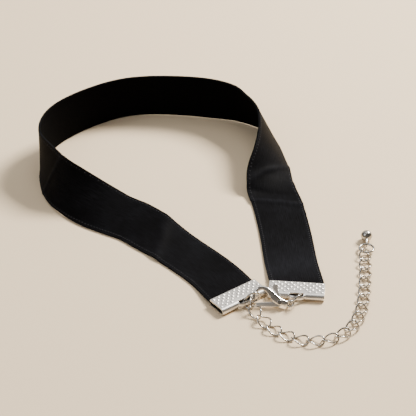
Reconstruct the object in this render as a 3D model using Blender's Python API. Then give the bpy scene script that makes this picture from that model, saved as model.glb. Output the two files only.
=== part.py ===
"""Ribbon choker: a black ribbon loop with folded metal ends, a lobster clasp and an extender chain.

It lies on a flat surface at z = 0, fastened. The clasp stands between the two metal ends, the ribbon's
loop opens towards +Y, and the chain curls away at the front.
"""

import math

import bmesh
import bpy
from mathutils import Matrix, Vector

MM = 0.001

# How finely curved parts are made, and which edges between their faces look soft
RING_SEGMENTS = 16
LINK_SEGMENTS = 14
WIRE_SIDES = 6
RIBBON_STEPS = 8
ROUTE_STEPS = 24
ROUTE_SPOTS = 20
CLAW_STEPS = 3
CLAW_SIDES = 10
FOLD_STEPS = 8
RIM_STEPS = 12
RIM_SIDES = 8
EYE_SIDES = 8
ROD_SEGMENTS = 12
DOT_SEGMENTS = 6
NECK_SIDES = 10
BALL_SEGMENTS = 16
BALL_RINGS = 10
PLATE_SOFT_ANGLE = math.radians(35.0)
CLOTH_SOFT_ANGLE = math.radians(40.0)
CLASP_SOFT_ANGLE = math.radians(45.0)
DROP_SOFT_ANGLE = math.radians(50.0)
WIRE_SOFT_ANGLE = math.radians(60.0)

# What keeps cuts clean: slivers shorter than the first are merged, the second keeps two faces from
# lying in one plane, and cutters reach past what they cut by the third
SLIVER = 0.002 * MM
PLANE_STEP = 0.0001 * MM
CUTTER_MARGIN = 2.0 * MM

# Ribbon
RIBBON_WIDTH = 15.0 * MM
RIBBON_THICKNESS = 1.0 * MM
LOOP_WIDTH = 83.0 * MM
LOOP_DEPTH = 97.0 * MM
RIBBON_STEP = 3.0 * MM
RIBBON_INSERT = 3.6 * MM

# Folded ribbon ends
CRIMP_OVERHANG = 0.2 * MM
CRIMP_DEPTH = 6.0 * MM
PLATE_THICKNESS = 0.45 * MM
SEAT_GAP = 0.12 * MM
LOOP_HOLE_HALF_WIDTH = 1.9 * MM
LOOP_HOLE_LENGTH = 1.7 * MM
LOOP_OFFSET = 0.1 * MM
RIM_THICKNESS = 0.8 * MM
RIM_HEIGHT = 1.1 * MM
RIM_REACH = 0.75 * MM
RIM_DEPTH = 2.05 * MM
RIM_DROP = 0.04 * MM
RIM_SQUARENESS = 0.7
CHEEK_START = 0.4 * MM
DOT_RADIUS = 0.42 * MM
DOT_HEIGHT = 0.2 * MM
DOT_PITCH = 1.74 * MM
DOT_ROW_PITCH = 0.92 * MM
DOT_ROWS = 5
DOT_FIRST_ROW = 0.6
DOT_TOP_SHARE = 0.45
DOT_TO_EDGE = 0.59 * MM
DOT_TO_HOLE = 0.46 * MM

# Chain and rings
LINK_COUNT = 18
LINK_WIRE = 0.5 * MM
LINK_PITCH = 4.08 * MM
LINK_WIDTH = 3.9 * MM
LINK_GAP = 0.18 * MM
LINK_TWIST = math.radians(45.0)
JUMP_WIRE = 0.55 * MM
JUMP_LEFT_DIAMETER = 4.0 * MM
JUMP_RIGHT_DIAMETER = 4.0 * MM
END_RING_WIRE = 0.65 * MM
END_RING_DIAMETER = 4.05 * MM
BALL_DIAMETER = 3.3 * MM
DROP_NECK_DIAMETER = 1.0 * MM
DROP_NECK_LENGTH = 1.1 * MM
DROP_EYE_WIRE = 0.44 * MM
DROP_EYE_GAP = 0.12 * MM
NECK_OVERLAP = 0.1 * MM

# Lobster clasp
CLASP_LENGTH = 11.5 * MM
CLASP_HEIGHT = 5.6 * MM
CLASP_THICKNESS = 1.9 * MM
CLASP_TILT = math.radians(50.0)
CLASP_EYE_WIRE = 0.62 * MM
CLASP_SQUARENESS = 0.75
LEVER_THICKNESS = 0.7 * MM
LEVER_GAP = 0.2 * MM
PIN_DIAMETER = 0.76 * MM
PIN_GAP = 0.08 * MM
PIN_HEAD_DIAMETER = 1.3 * MM
PIN_HEAD_HEIGHT = 0.25 * MM

# Where things lie, as seen from above: the loop is anchored on the clasp
CLASP_PLACE = Vector((12.0 * MM, -47.5 * MM, 0.70 * MM))
CLASP_HEADING = math.radians(-4.0)
LEFT_CRIMP_PLACE = Vector((10.281 * MM, -46.842 * MM, 0.0))
LEFT_CRIMP_HEADING = math.radians(37.0)
RIGHT_CRIMP_PLACE = Vector((24.164 * MM, -44.671 * MM, 0.0))
RIGHT_CRIMP_HEADING = math.radians(-5.6)
LEFT_RING_PLACE = Vector((12.29 * MM, -46.03 * MM, 2.32 * MM))
LEFT_RING_AXIS = Vector((0.342, -0.919, -0.195))
RIGHT_RING_PLACE = Vector((23.71 * MM, -46.22 * MM, 2.01 * MM))
RIGHT_RING_AXIS = Vector((0.675, -0.448, -0.586))
END_RING_PLACE = Vector((45.34 * MM, -21.80 * MM, 1.16 * MM))
END_RING_AXIS = Vector((-0.03, 0.0, 1.0))
LOOP_MIDDLE = Vector((-10.0 * MM, 4.0 * MM, 0.0))

# Links that don't lie flat, at both ends of the chain: place, heading, pitch and roll in degrees
LEADING_LINKS = (
    (Vector((11.21 * MM, -47.79 * MM, 1.97 * MM)), -67.9, -2.4, 71.2),
    (Vector((12.97 * MM, -51.34 * MM, 1.69 * MM)), -61.6, 4.0, 37.1),
    (Vector((15.10 * MM, -54.72 * MM, 1.22 * MM)), -54.9, 6.0, 6.8),
)
TRAILING_LINKS = (
    (Vector((44.46 * MM, -29.21 * MM, 0.95 * MM)), 87.2, -2.0, 3.0),
    (Vector((44.70 * MM, -25.25 * MM, 1.13 * MM)), 85.7, -3.6, 17.0),
)

# Ribbon sections from the left end round the back to the right end: across and along are the floor
# edge's place as shares of LOOP_WIDTH and LOOP_DEPTH from the loop's middle, facing is the direction
# from the floor edge to the other edge, and lean is 0 where the ribbon lies flat and 90 where it stands
SECTION_COLUMNS = ("across", "along", "facing", "lean")
SECTIONS = (
    (0.062, -0.423, 41, 0),
    (-0.058, -0.309, 47, 2),
    (-0.138, -0.246, 50, 12),
    (-0.192, -0.205, 52, 15),
    (-0.252, -0.176, 57, 18),
    (-0.328, -0.136, 53, 31),
    (-0.400, -0.080, 42, 46),
    (-0.452, -0.017, 32, 61),
    (-0.485, 0.060, 20, 73),
    (-0.497, 0.150, 5, 88),
    (-0.483, 0.240, -15, 92),
    (-0.440, 0.325, -35, 91),
    (-0.350, 0.408, -55, 89),
    (-0.235, 0.475, -68, 87),
    (-0.120, 0.502, -85, 86),
    (0.020, 0.496, -96, 88),
    (0.133, 0.479, -100, 88),
    (0.228, 0.462, -105, 80),
    (0.297, 0.431, -118, 70),
    (0.354, 0.385, -140, 65),
    (0.388, 0.305, -164, 63),
    (0.408, 0.225, -168, 55),
    (0.423, 0.158, -172, 42),
    (0.4315, 0.090, -176, 20),
    (0.4435, 0.035, -179, 5),
    (0.4605, -0.030, -183, 0),
    (0.480, -0.170, -184, 0),
    (0.494, -0.330, -185, 0),
)

# The lobster clasp in its own plane: sections of its hooked body, the outline of its lever and the slot
# that the lever turns in. Along and up are shares of CLASP_LENGTH and CLASP_HEIGHT, and half_width and
# half_thickness are shares of CLASP_HEIGHT and CLASP_THICKNESS
CLAW_COLUMNS = ("along", "up", "half_width", "half_thickness")
CLAW_SECTIONS = (
    (0.830, 0.185, 0.110, 0.32),
    (0.760, 0.195, 0.165, 0.43),
    (0.650, 0.260, 0.230, 0.50),
    (0.545, 0.400, 0.235, 0.50),
    (0.435, 0.640, 0.168, 0.42),
    (0.340, 0.810, 0.134, 0.34),
    (0.235, 0.890, 0.108, 0.30),
    (0.140, 0.835, 0.100, 0.29),
    (0.064, 0.660, 0.090, 0.27),
    (0.034, 0.480, 0.080, 0.26),
    (0.040, 0.300, 0.062, 0.22),
)
LEVER_OUTLINE = (
    (0.098, 0.050),
    (0.087, 0.100),
    (0.098, 0.160),
    (0.470, 0.228),
    (0.575, 0.340),
    (0.535, 0.700),
    (0.483, 1.020),
    (0.500, 1.095),
    (0.552, 1.095),
    (0.574, 1.020),
    (0.622, 0.700),
    (0.690, 0.375),
    (0.728, 0.270),
    (0.728, 0.160),
    (0.690, 0.070),
    (0.620, 0.045),
    (0.470, 0.055),
)
SLOT_OUTLINE = (
    (0.350, -0.100),
    (0.350, 0.520),
    (0.435, 0.560),
    (0.505, 0.560),
    (0.505, 1.300),
    (0.720, 1.300),
    (0.750, 0.450),
    (0.750, -0.100),
)
# Half thickness of the ball's neck at its start, waist and foot, as shares of DROP_NECK_DIAMETER
NECK_HALVES = (0.38, 0.42, 0.62)
NECK_WAIST = 0.6

PIVOT_ALONG = 0.652
PIVOT_UP = 0.215
EYE_ALONG = 0.900
EYE_UP = 0.180
EYE_HALF_LENGTH = 0.90 * MM
EYE_HALF_HEIGHT = 0.80 * MM

# Middle line of the links that lie flat, from the last leading link on, a few points chosen by hand
CHAIN_ROUTE = (
    Vector((15.0 * MM, -54.65 * MM, 0.0)),
    Vector((18.2 * MM, -58.3 * MM, 0.0)),
    Vector((24.6 * MM, -62.2 * MM, 0.0)),
    Vector((31.6 * MM, -62.2 * MM, 0.0)),
    Vector((37.4 * MM, -58.6 * MM, 0.0)),
    Vector((40.9 * MM, -52.4 * MM, 0.0)),
    Vector((42.8 * MM, -44.6 * MM, 0.0)),
    Vector((44.2 * MM, -33.2 * MM, 0.0)),
    Vector((44.6 * MM, -28.0 * MM, 0.0)),
)

CRIMP_HEIGHT = 2.0 * (PLATE_THICKNESS + SEAT_GAP) + RIBBON_THICKNESS
CRIMP_WIDTH = RIBBON_WIDTH + 2.0 * CRIMP_OVERHANG
LINK_HALF_LENGTH = 0.5 * (LINK_PITCH + LINK_WIRE + LINK_GAP)
LINK_HALF_WIDTH = 0.5 * (LINK_WIDTH - LINK_WIRE)
UP = Vector((0.0, 0.0, 1.0))


def clear_scene():
    """Take away whatever the file holds, so that only the choker is left."""
    for thing in list(bpy.data.objects):
        bpy.data.objects.remove(thing, do_unlink=True)


def material(name, colour, roughness, metallic):
    """A plain surface with the part's own colour."""
    made = bpy.data.materials.new(name)
    made.use_nodes = True
    shader = made.node_tree.nodes["Principled BSDF"]
    shader.inputs["Base Color"].default_value = (*colour, 1.0)
    shader.inputs["Roughness"].default_value = roughness
    shader.inputs["Metallic"].default_value = metallic
    return made


def object_from(name, bm, surface, parent, smooth_angle=None):
    """Put a finished bmesh into the scene under the choker's empty."""
    bmesh.ops.recalc_face_normals(bm, faces=bm.faces)
    mesh = bpy.data.meshes.new(name)
    bm.to_mesh(mesh)
    bm.free()
    mesh.materials.append(surface)
    if smooth_angle is not None:
        mesh.shade_smooth()
        mesh.set_sharp_from_angle(angle=smooth_angle)
    made = bpy.data.objects.new(name, mesh)
    made.parent = parent
    bpy.context.scene.collection.objects.link(made)
    return made


def smooth_through(points, steps):
    """Points on a smooth curve that passes through the given points, a number of steps to each span."""
    out = []
    for i in range(len(points) - 1):
        before = points[max(i - 1, 0)]
        start = points[i]
        end = points[i + 1]
        after = points[min(i + 2, len(points) - 1)]
        for k in range(steps):
            t = k / steps
            out.append(
                0.5
                * (
                    2.0 * start
                    + (end - before) * t
                    + (2.0 * before - 5.0 * start + 4.0 * end - after) * t * t
                    + (3.0 * start - before - 3.0 * end + after) * t**3
                )
            )
    out.append(points[-1].copy())
    return out


def evenly(points, step):
    """The same curve with its points a given distance apart."""
    out = [points[0].copy()]
    left = step
    for start, end in zip(points[:-1], points[1:]):
        span = (end - start).length
        at = 0.0
        while span - at >= left:
            at += left
            out.append(start.lerp(end, at / span))
            left = step
        left -= span - at
    return out


def tangents(points, closed):
    """The direction of travel at each point."""
    count = len(points)
    out = []
    for i in range(count):
        ahead = points[(i + 1) % count] if closed else points[min(i + 1, count - 1)]
        behind = points[i - 1] if closed else points[max(i - 1, 0)]
        out.append((ahead - behind).normalized())
    return out


def bridge_rows(bm, rows, closed):
    """Faces between neighbouring rows of corners, with flat ends where the run is open."""
    count = len(rows)
    sides = len(rows[0])
    for i in range(count if closed else count - 1):
        here, there = rows[i], rows[(i + 1) % count]
        for k in range(sides):
            bm.faces.new((here[k], here[(k + 1) % sides], there[(k + 1) % sides], there[k]))
    if not closed:
        bm.faces.new(rows[0])
        bm.faces.new(list(reversed(rows[-1])))


def sweep(bm, points, across, half_across, half_other, sides, closed, squareness=1.0):
    """A bar along a run of points. Across is one direction of its section at each point."""
    rows = []
    for i, (point, along) in enumerate(zip(points, tangents(points, closed))):
        side = (across[i] - along * across[i].dot(along)).normalized()
        other = along.cross(side)
        row = []
        for k in range(sides):
            turn = 2.0 * math.pi * (k + 0.5) / sides
            c, s = math.cos(turn), math.sin(turn)
            x = math.copysign(abs(c) ** squareness, c) * half_across[i]
            y = math.copysign(abs(s) ** squareness, s) * half_other[i]
            row.append(bm.verts.new(point + side * x + other * y))
        rows.append(row)
    bridge_rows(bm, rows, closed)


def ring_mesh(centre, axis, diameter, wire):
    """A closed round ring, its diameter measured to the middle of its wire."""
    axis = axis.normalized()
    side = axis.orthogonal().normalized()
    other = axis.cross(side)
    points = []
    for k in range(RING_SEGMENTS):
        turn = 2.0 * math.pi * k / RING_SEGMENTS
        points.append(centre + (side * math.cos(turn) + other * math.sin(turn)) * diameter * 0.5)
    bm = bmesh.new()
    half = [wire * 0.5] * RING_SEGMENTS
    sweep(bm, points, [axis] * RING_SEGMENTS, half, half, WIRE_SIDES, True)
    return bm


def prism(bm, outline, low, high):
    """An outline in the local XY plane, raised from low to high along Z."""
    rows = []
    for height in (low, high):
        rows.append([bm.verts.new((x, y, height)) for x, y in outline])
    bridge_rows(bm, rows, False)


def apply_boolean(target, cutter, operation):
    """Cut or join one solid with another, and drop the other."""
    modifier = target.modifiers.new(operation.title(), "BOOLEAN")
    modifier.operation = operation
    modifier.solver = "EXACT"
    modifier.object = cutter
    bpy.context.view_layer.update()
    graph = bpy.context.evaluated_depsgraph_get()
    mesh = bpy.data.meshes.new_from_object(target.evaluated_get(graph))
    target.modifiers.clear()
    target.data = mesh
    bpy.data.objects.remove(cutter, do_unlink=True)


def finish_solid(thing, surface, smooth_angle):
    """Merge the slivers that cuts leave, and shade the round parts smooth."""
    bm = bmesh.new()
    bm.from_mesh(thing.data)
    bmesh.ops.remove_doubles(bm, verts=bm.verts, dist=SLIVER)
    bmesh.ops.dissolve_degenerate(bm, edges=bm.edges, dist=SLIVER)
    bmesh.ops.triangulate(bm, faces=bm.faces)
    bm.to_mesh(thing.data)
    bm.free()
    thing.data.materials.clear()
    thing.data.materials.append(surface)
    thing.data.shade_smooth()
    thing.data.set_sharp_from_angle(angle=smooth_angle)


def crimp_frame(place, heading):
    """A metal end's frame at its mouth, from its fold's middle: X along its width, +Y into the ribbon."""
    fold = Matrix.Translation(place) @ Matrix.Rotation(heading, 4, "Z")
    return fold @ Matrix.Translation((0.0, CRIMP_DEPTH, 0.0))


def ribbon_edges():
    """The floor edge and the other edge of the ribbon's middle surface, from end to end."""
    lower, upper = [], []

    def end_pair(frame, side, into):
        height = Vector((0.0, 0.0, CRIMP_HEIGHT * 0.5))
        outer = frame @ Vector((side * RIBBON_WIDTH * 0.5, into, 0.0)) + height
        inner = frame @ Vector((-side * RIBBON_WIDTH * 0.5, into, 0.0)) + height
        return outer, inner

    left = crimp_frame(LEFT_CRIMP_PLACE, LEFT_CRIMP_HEADING)
    right = crimp_frame(RIGHT_CRIMP_PLACE, RIGHT_CRIMP_HEADING)
    for into in (-RIBBON_INSERT, 0.0):
        outer, inner = end_pair(left, -1.0, into)
        lower.append(outer)
        upper.append(inner)
    for row in SECTIONS:
        section = dict(zip(SECTION_COLUMNS, row))
        facing, lean = math.radians(section["facing"]), math.radians(section["lean"])
        foot = LOOP_MIDDLE + Vector((section["across"] * LOOP_WIDTH, section["along"] * LOOP_DEPTH, 0.0))
        foot.z = RIBBON_THICKNESS * 0.5 * abs(math.cos(lean))
        flat = Vector((math.cos(facing), math.sin(facing), 0.0)) * math.cos(lean)
        lower.append(foot)
        upper.append(foot + (flat + UP * math.sin(lean)) * RIBBON_WIDTH)
    for into in (0.0, -RIBBON_INSERT):
        outer, inner = end_pair(right, 1.0, into)
        lower.append(outer)
        upper.append(inner)
    return lower, upper


def build_ribbon(surface, parent):
    """One open band from metal end to metal end, a thin wall that follows the sections."""
    lower, upper = ribbon_edges()
    middles = [(a + b) * 0.5 for a, b in zip(lower, upper)]
    reaches = [b - a for a, b in zip(lower, upper)]
    steps = [max(1, round((b - a).length / RIBBON_STEP)) for a, b in zip(middles[:-1], middles[1:])]
    path = smooth_through(middles, RIBBON_STEPS)
    turns = smooth_through(reaches, RIBBON_STEPS)
    points, spans = [], []
    for i, count in enumerate(steps):
        for k in range(count):
            at = (i + k / count) * RIBBON_STEPS
            base = int(at)
            part = at - base
            points.append(path[base].lerp(path[min(base + 1, len(path) - 1)], part))
            spans.append(turns[base].lerp(turns[min(base + 1, len(turns) - 1)], part))
    points.append(path[-1])
    spans.append(turns[-1])
    rows = []
    bm = bmesh.new()
    for point, span, along in zip(points, spans, tangents(points, False)):
        reach = (span - along * span.dot(along)).normalized() * RIBBON_WIDTH * 0.5
        wall = along.cross(reach).normalized() * RIBBON_THICKNESS * 0.5
        corners = [point - reach - wall, point + reach - wall, point + reach + wall, point - reach + wall]
        sunk = min(corner.z for corner in corners)
        lift = max(0.0, -sunk)
        rows.append([bm.verts.new(corner + UP * lift) for corner in corners])
    bridge_rows(bm, rows, False)
    bmesh.ops.triangulate(bm, faces=bm.faces)
    return object_from("ribbon", bm, surface, parent, CLOTH_SOFT_ANGLE)


def fold_profile():
    """The folded plate seen from its side, open at Y = 0, as outer and inner walls."""
    outer, inner = [], []
    radius = CRIMP_HEIGHT * 0.5
    centre = -(CRIMP_DEPTH - radius)
    outer.append((0.0, CRIMP_HEIGHT))
    inner.append((0.0, CRIMP_HEIGHT - PLATE_THICKNESS))
    for k in range(FOLD_STEPS + 1):
        turn = math.pi * (0.5 + k / FOLD_STEPS)
        outer.append((centre + radius * math.cos(turn), radius + radius * math.sin(turn)))
        small = radius - PLATE_THICKNESS
        inner.append((centre + small * math.cos(turn), radius + small * math.sin(turn)))
    outer.append((0.0, 0.0))
    inner.append((0.0, PLATE_THICKNESS))
    return outer + list(reversed(inner))


def block(bm, low, high):
    """A box between two corners."""
    outline = ((low[0], low[1]), (high[0], low[1]), (high[0], high[1]), (low[0], high[1]))
    prism(bm, outline, low[2], high[2])


def build_crimp(name, place, heading, surface, parent):
    """A folded plate round the ribbon's end, with a looped rim in its fold and raised dots on top."""
    half = CRIMP_WIDTH * 0.5
    middle = LOOP_OFFSET
    hole_start = CRIMP_DEPTH - LOOP_HOLE_LENGTH
    bm = bmesh.new()
    rows = [[bm.verts.new((x, y, z)) for y, z in fold_profile()] for x in (-half, half)]
    bridge_rows(bm, rows, False)
    crimp = object_from(name, bm, surface, parent)

    bm = bmesh.new()
    reach = CRIMP_DEPTH + CUTTER_MARGIN
    hole = LOOP_HOLE_HALF_WIDTH
    block(bm, (middle - hole, -reach, -CUTTER_MARGIN), (middle + hole, -hole_start, reach))
    apply_boolean(crimp, object_from("window", bm, surface, parent), "DIFFERENCE")

    bm = bmesh.new()
    inset = PLATE_THICKNESS * 0.5
    for side in (-1.0, 1.0):
        near = middle + side * (hole + PLANE_STEP)
        far = middle + side * (hole + RIM_THICKNESS)
        low = (min(near, far), -(CRIMP_DEPTH - CHEEK_START), inset)
        high = (max(near, far), -hole_start, CRIMP_HEIGHT - inset)
        block(bm, low, high)
    apply_boolean(crimp, object_from("cheeks", bm, surface, parent), "UNION")

    bm = bmesh.new()
    half_span = hole + RIM_THICKNESS * 0.5
    rim_start = CRIMP_DEPTH + RIM_REACH - RIM_DEPTH
    rim_middle = CRIMP_HEIGHT - RIM_DROP - RIM_HEIGHT * 0.5
    points = []
    for k in range(RIM_STEPS + 1):
        turn = math.pi * k / RIM_STEPS
        x = middle + half_span * math.cos(turn)
        y = -rim_start - RIM_DEPTH * math.sin(turn)
        points.append(Vector((x, y, rim_middle)))
    count = len(points)
    tall = [RIM_HEIGHT * 0.5] * count
    thick = [RIM_THICKNESS * 0.5] * count
    sweep(bm, points, [UP] * count, tall, thick, RIM_SIDES, False, RIM_SQUARENESS)
    apply_boolean(crimp, object_from("rim", bm, surface, parent), "UNION")

    bm = bmesh.new()
    for x, y in dot_places(middle, hole, half):
        bmesh.ops.create_cone(
            bm,
            cap_ends=True,
            segments=DOT_SEGMENTS,
            radius1=DOT_RADIUS,
            radius2=DOT_RADIUS * DOT_TOP_SHARE,
            depth=DOT_HEIGHT + inset,
            matrix=Matrix.Translation((x, y, CRIMP_HEIGHT + (DOT_HEIGHT - inset) * 0.5)),
        )
    apply_boolean(crimp, object_from("dots", bm, surface, parent), "UNION")
    finish_solid(crimp, surface, PLATE_SOFT_ANGLE)
    crimp.matrix_local = crimp_frame(place, heading)
    return crimp


def dot_places(middle, hole, half):
    """Staggered rows of dots on the upper plate, clear of the loop hole and the plate's edges."""
    places = []
    for row in range(DOT_ROWS):
        y = -DOT_ROW_PITCH * (row + DOT_FIRST_ROW)
        shift = 0.5 * DOT_PITCH if row % 2 else 0.0
        columns = int((half - DOT_TO_EDGE - shift) / DOT_PITCH)
        for column in range(-columns - 1, columns + 1):
            x = column * DOT_PITCH + shift
            if abs(x) > half - DOT_TO_EDGE:
                continue
            beside_hole = abs(x - middle) > hole + DOT_TO_HOLE
            if y - DOT_TO_HOLE > -(CRIMP_DEPTH - LOOP_HOLE_LENGTH) or beside_hole:
                places.append((x, y))
    return places


def link_points(centre, heading, pitch, roll):
    """Middle line of a curb link: an oval whose ends are rolled opposite ways, so that it locks in."""
    turn = Matrix.Rotation(heading, 3, "Z") @ Matrix.Rotation(pitch, 3, "Y") @ Matrix.Rotation(roll, 3, "X")
    points, across = [], []
    for k in range(LINK_SEGMENTS):
        angle = 2.0 * math.pi * k / LINK_SEGMENTS
        x = LINK_HALF_LENGTH * math.cos(angle)
        y = LINK_HALF_WIDTH * math.sin(angle)
        twist = LINK_TWIST * x / LINK_HALF_LENGTH
        local = Vector((x, y * math.cos(twist), y * math.sin(twist)))
        points.append(centre + turn @ local)
        across.append(turn @ Vector((0.0, -math.sin(twist), math.cos(twist))))
    return points, across


def add_link(index, centre, heading, pitch, roll, surface, parent):
    """One twisted oval link."""
    points, across = link_points(centre, heading, pitch, roll)
    bm = bmesh.new()
    half = [LINK_WIRE * 0.5] * LINK_SEGMENTS
    sweep(bm, points, across, half, half, WIRE_SIDES, True)
    return object_from("link_%02d" % index, bm, surface, parent, WIRE_SOFT_ANGLE)


def lying_height():
    """How high a flat link's middle lies when its lowest wire touches the surface."""
    points, across = link_points(Vector((0.0, 0.0, 0.0)), 0.0, 0.0, 0.0)
    return LINK_WIRE * 0.5 - min(point.z for point in points)


def add_posed_link(index, pose, surface, parent):
    """A link whose place and turns are given."""
    place, heading, pitch, roll = pose
    add_link(index, place, math.radians(heading), math.radians(pitch), math.radians(roll), surface, parent)


def build_chain(surface, parent):
    """Interlocked links: the leading ones climb to the jump ring, the rest lie along the route."""
    for k, pose in enumerate(LEADING_LINKS):
        add_posed_link(k + 1, pose, surface, parent)
    for k, pose in enumerate(TRAILING_LINKS):
        add_posed_link(LINK_COUNT - len(TRAILING_LINKS) + k + 1, pose, surface, parent)
    first = len(LEADING_LINKS) + 1
    last = LINK_COUNT - len(TRAILING_LINKS)
    spots = evenly(smooth_through(CHAIN_ROUTE, ROUTE_STEPS), LINK_PITCH / ROUTE_SPOTS)
    for index in range(first, last + 1):
        at = (index - first + 1) * ROUTE_SPOTS
        along = spots[at + 1] - spots[at - 1]
        here = spots[at] + UP * lying_height()
        add_link(index, here, math.atan2(along.y, along.x), 0.0, 0.0, surface, parent)


def build_chain_end(surface, parent):
    """The bigger ring in the last link, and the ball that hangs on it by its eye."""
    bm = ring_mesh(END_RING_PLACE, END_RING_AXIS, END_RING_DIAMETER, END_RING_WIRE)
    object_from("end_ring", bm, surface, parent, WIRE_SOFT_ANGLE)

    heading = math.radians(TRAILING_LINKS[-1][1])
    along = Vector((math.cos(heading), math.sin(heading), 0.0))
    side = Vector((-along.y, along.x, 0.0))
    far = END_RING_PLACE + END_RING_AXIS.cross(-side).normalized() * END_RING_DIAMETER * 0.5
    eye_radius = (END_RING_WIRE + DROP_EYE_WIRE) * 0.5 + DROP_EYE_GAP
    ball_radius = BALL_DIAMETER * 0.5
    neck_start = far + along * (eye_radius + NECK_OVERLAP)
    run = neck_start.z - ball_radius
    flat = math.sqrt(max((DROP_NECK_LENGTH + ball_radius) ** 2 - run * run, 0.0))
    ball = Vector((neck_start.x, neck_start.y, 0.0)) + along * flat + UP * ball_radius
    line = (ball - neck_start).normalized()

    bm = bmesh.new()
    bmesh.ops.create_uvsphere(
        bm,
        u_segments=BALL_SEGMENTS,
        v_segments=BALL_RINGS,
        radius=ball_radius,
        matrix=Matrix.Translation(ball),
    )
    drop = object_from("ball_drop", bm, surface, parent)
    bm = bmesh.new()
    waist = neck_start + line * DROP_NECK_LENGTH * NECK_WAIST
    points = [neck_start - line * NECK_OVERLAP, waist, ball]
    half = [share * DROP_NECK_DIAMETER for share in NECK_HALVES]
    sweep(bm, points, [side] * len(points), half, half, NECK_SIDES, False)
    apply_boolean(drop, object_from("neck", bm, surface, parent), "UNION")
    bm = ring_mesh(far, side, eye_radius * 2.0, DROP_EYE_WIRE)
    apply_boolean(drop, object_from("eye", bm, surface, parent), "UNION")
    finish_solid(drop, surface, DROP_SOFT_ANGLE)
    return drop


def clasp_frame():
    """The clasp's own frame: X along its length, Y up its tilted plane, Z out of its face."""
    return (
        Matrix.Translation(CLASP_PLACE)
        @ Matrix.Rotation(CLASP_HEADING, 4, "Z")
        @ Matrix.Rotation(CLASP_TILT, 4, "X")
    )


def in_clasp(outline):
    """An outline's shares as lengths in the clasp's plane."""
    return [(along * CLASP_LENGTH, up * CLASP_HEIGHT) for along, up in outline]


def build_clasp_body(surface, parent):
    """The hooked body with its eye, slotted for the lever and bored for the rivet."""
    places, sizes = [], []
    for row in CLAW_SECTIONS:
        claw = dict(zip(CLAW_COLUMNS, row))
        places.append(Vector((claw["along"] * CLASP_LENGTH, claw["up"] * CLASP_HEIGHT, 0.0)))
        half_width = claw["half_width"] * CLASP_HEIGHT
        half_thickness = claw["half_thickness"] * CLASP_THICKNESS
        sizes.append(Vector((half_width, half_thickness, 0.0)))
    points = smooth_through(places, CLAW_STEPS)
    spans = smooth_through(sizes, CLAW_STEPS)
    bm = bmesh.new()
    thick = [span.y for span in spans]
    wide = [span.x for span in spans]
    sweep(bm, points, [UP] * len(points), thick, wide, CLAW_SIDES, False, CLASP_SQUARENESS)
    body = object_from("clasp_body", bm, surface, parent)

    bm = bmesh.new()
    eye = Vector((EYE_ALONG * CLASP_LENGTH, EYE_UP * CLASP_HEIGHT, 0.0))
    points = []
    for k in range(RING_SEGMENTS):
        turn = 2.0 * math.pi * k / RING_SEGMENTS
        x = EYE_HALF_LENGTH * math.cos(turn)
        y = EYE_HALF_HEIGHT * math.sin(turn)
        points.append(eye + Vector((x, y, 0.0)))
    half = [CLASP_EYE_WIRE * 0.5] * RING_SEGMENTS
    sweep(bm, points, [UP] * RING_SEGMENTS, half, half, EYE_SIDES, True)
    apply_boolean(body, object_from("eye", bm, surface, parent), "UNION")

    bm = bmesh.new()
    half_slot = LEVER_THICKNESS * 0.5 + LEVER_GAP
    prism(bm, in_clasp(SLOT_OUTLINE), -half_slot, half_slot)
    apply_boolean(body, object_from("slot", bm, surface, parent), "DIFFERENCE")
    bm = bmesh.new()
    add_rod(bm, PIN_DIAMETER * 0.5 + PIN_GAP, -CLASP_THICKNESS, CLASP_THICKNESS)
    apply_boolean(body, object_from("bore", bm, surface, parent), "DIFFERENCE")
    finish_solid(body, surface, CLASP_SOFT_ANGLE)
    body.matrix_local = clasp_frame()
    return body


def pivot():
    """The rivet's place in the clasp's plane."""
    return Vector((PIVOT_ALONG * CLASP_LENGTH, PIVOT_UP * CLASP_HEIGHT, 0.0))


def add_rod(bm, radius, low, high):
    """A round rod on the rivet's axis."""
    bmesh.ops.create_cone(
        bm,
        cap_ends=True,
        segments=ROD_SEGMENTS,
        radius1=radius,
        radius2=radius,
        depth=high - low,
        matrix=Matrix.Translation(pivot() + Vector((0.0, 0.0, (low + high) * 0.5))),
    )


def build_clasp_lever(surface, parent):
    """The sprung lever: a gate along the clasp's lower side and a thumb tab above its back."""
    centre = pivot()
    hinge = bpy.data.objects.new("lever_hinge", None)
    hinge.parent = parent
    hinge.matrix_local = clasp_frame() @ Matrix.Translation(centre)
    bpy.context.scene.collection.objects.link(hinge)
    bm = bmesh.new()
    prism(bm, in_clasp(LEVER_OUTLINE), -LEVER_THICKNESS * 0.5, LEVER_THICKNESS * 0.5)
    lever = object_from("clasp_lever", bm, surface, parent)
    bm = bmesh.new()
    add_rod(bm, PIN_DIAMETER * 0.5 + PIN_GAP, -CLASP_THICKNESS, CLASP_THICKNESS)
    apply_boolean(lever, object_from("bore", bm, surface, parent), "DIFFERENCE")
    finish_solid(lever, surface, CLASP_SOFT_ANGLE)
    lever.data.transform(Matrix.Translation(-centre))
    lever.parent = hinge
    return lever


def build_clasp_pin(surface, parent):
    """The rivet, with a low head on each face of the body."""
    reach = CLASP_THICKNESS * 0.5 + PIN_GAP
    bm = bmesh.new()
    add_rod(bm, PIN_DIAMETER * 0.5, -reach - PIN_HEAD_HEIGHT * 0.5, reach + PIN_HEAD_HEIGHT * 0.5)
    pin = object_from("clasp_pin", bm, surface, parent)
    for side in (-1.0, 1.0):
        bm = bmesh.new()
        near, far = side * reach, side * (reach + PIN_HEAD_HEIGHT)
        add_rod(bm, PIN_HEAD_DIAMETER * 0.5, min(near, far), max(near, far))
        apply_boolean(pin, object_from("head", bm, surface, parent), "UNION")
    finish_solid(pin, surface, CLASP_SOFT_ANGLE)
    pin.matrix_local = clasp_frame()
    return pin


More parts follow.
